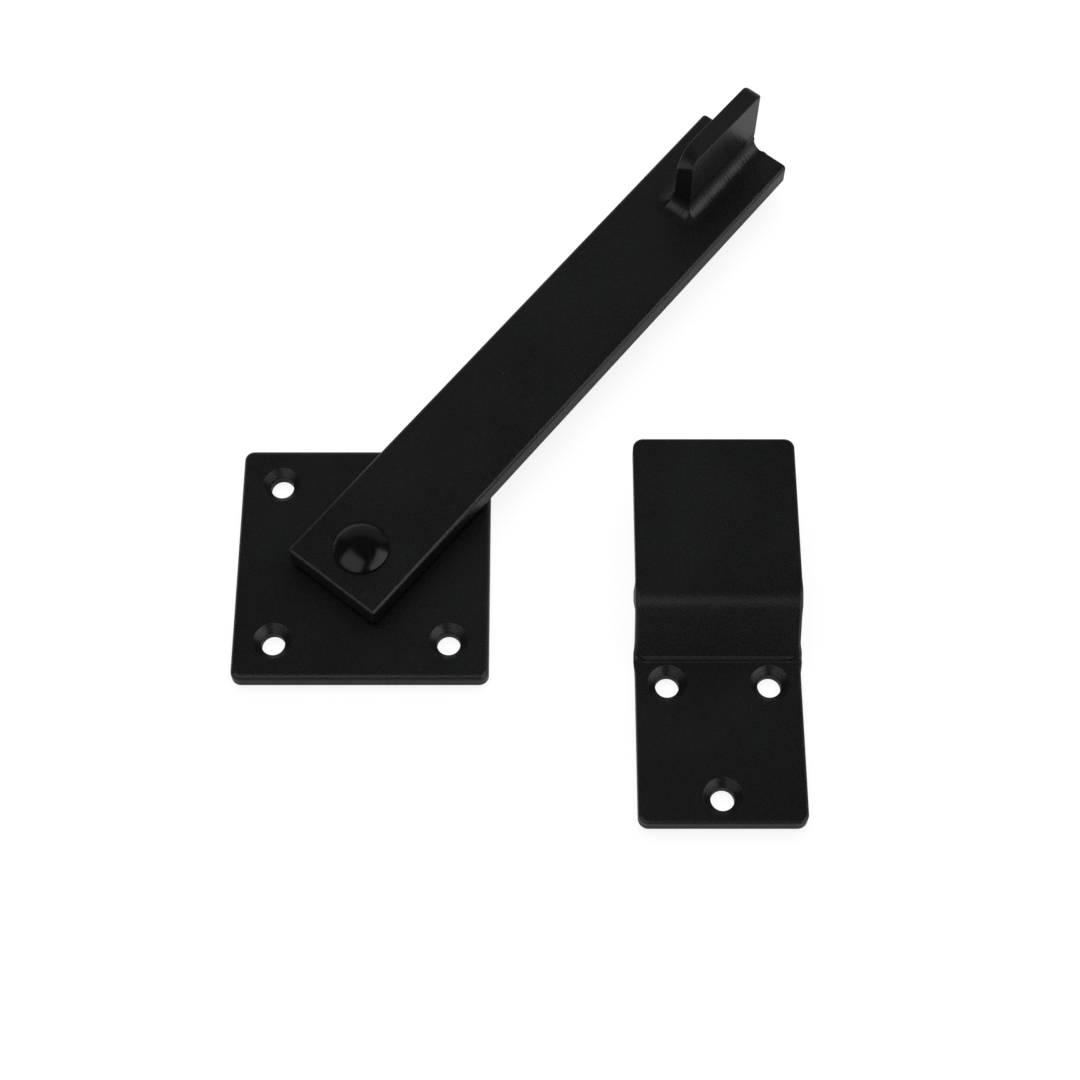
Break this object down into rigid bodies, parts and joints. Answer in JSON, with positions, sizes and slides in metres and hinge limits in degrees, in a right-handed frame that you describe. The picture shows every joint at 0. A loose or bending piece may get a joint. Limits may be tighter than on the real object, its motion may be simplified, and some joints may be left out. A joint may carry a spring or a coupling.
{
  "type": "flip bar latch",
  "caption": "Flip latch: a flat steel bar with an upright thumb tab, riveted to a square screw plate, and a joggled strap keeper that it drops into.",
  "frame": {"origin": "on the pivot axis, at the back face of the mounting plate", "axes": "+Z along the pivot axis, out of the door; +X from the plate towards the keeper; +Y up the door"},
  "size_m": [0.1284, 0.1808, 0.0305],
  "materials": {
    "plate_powder_coat": "satin black powder coat on steel",
    "bar_powder_coat": "satin black powder coat on steel",
    "weld_powder_coat": "satin black powder coat over a weld bead",
    "keeper_powder_coat": "satin black powder coat on steel",
    "rivet_gloss_black": "gloss black enamel on steel",
    "washer_zinc": "zinc plated"
  },
  "bodies": {
    "mounting": {"mounting_plate": "plate_powder_coat", "pivot_rivet": "rivet_gloss_black", "pivot_washer": "washer_zinc", "keeper": "keeper_powder_coat"},
    "bar": {"latch_bar": "bar_powder_coat", "thumb_lug": "bar_powder_coat", "lug_weld": "weld_powder_coat"}
  },
  "joints": [
    {"name": "bar_pivot", "type": "hinge", "parent": "mounting", "child": "bar", "pos_m": [0, 0, 0], "axis": [0, 0, 1], "range_deg": [-51, 219]}
  ]
}
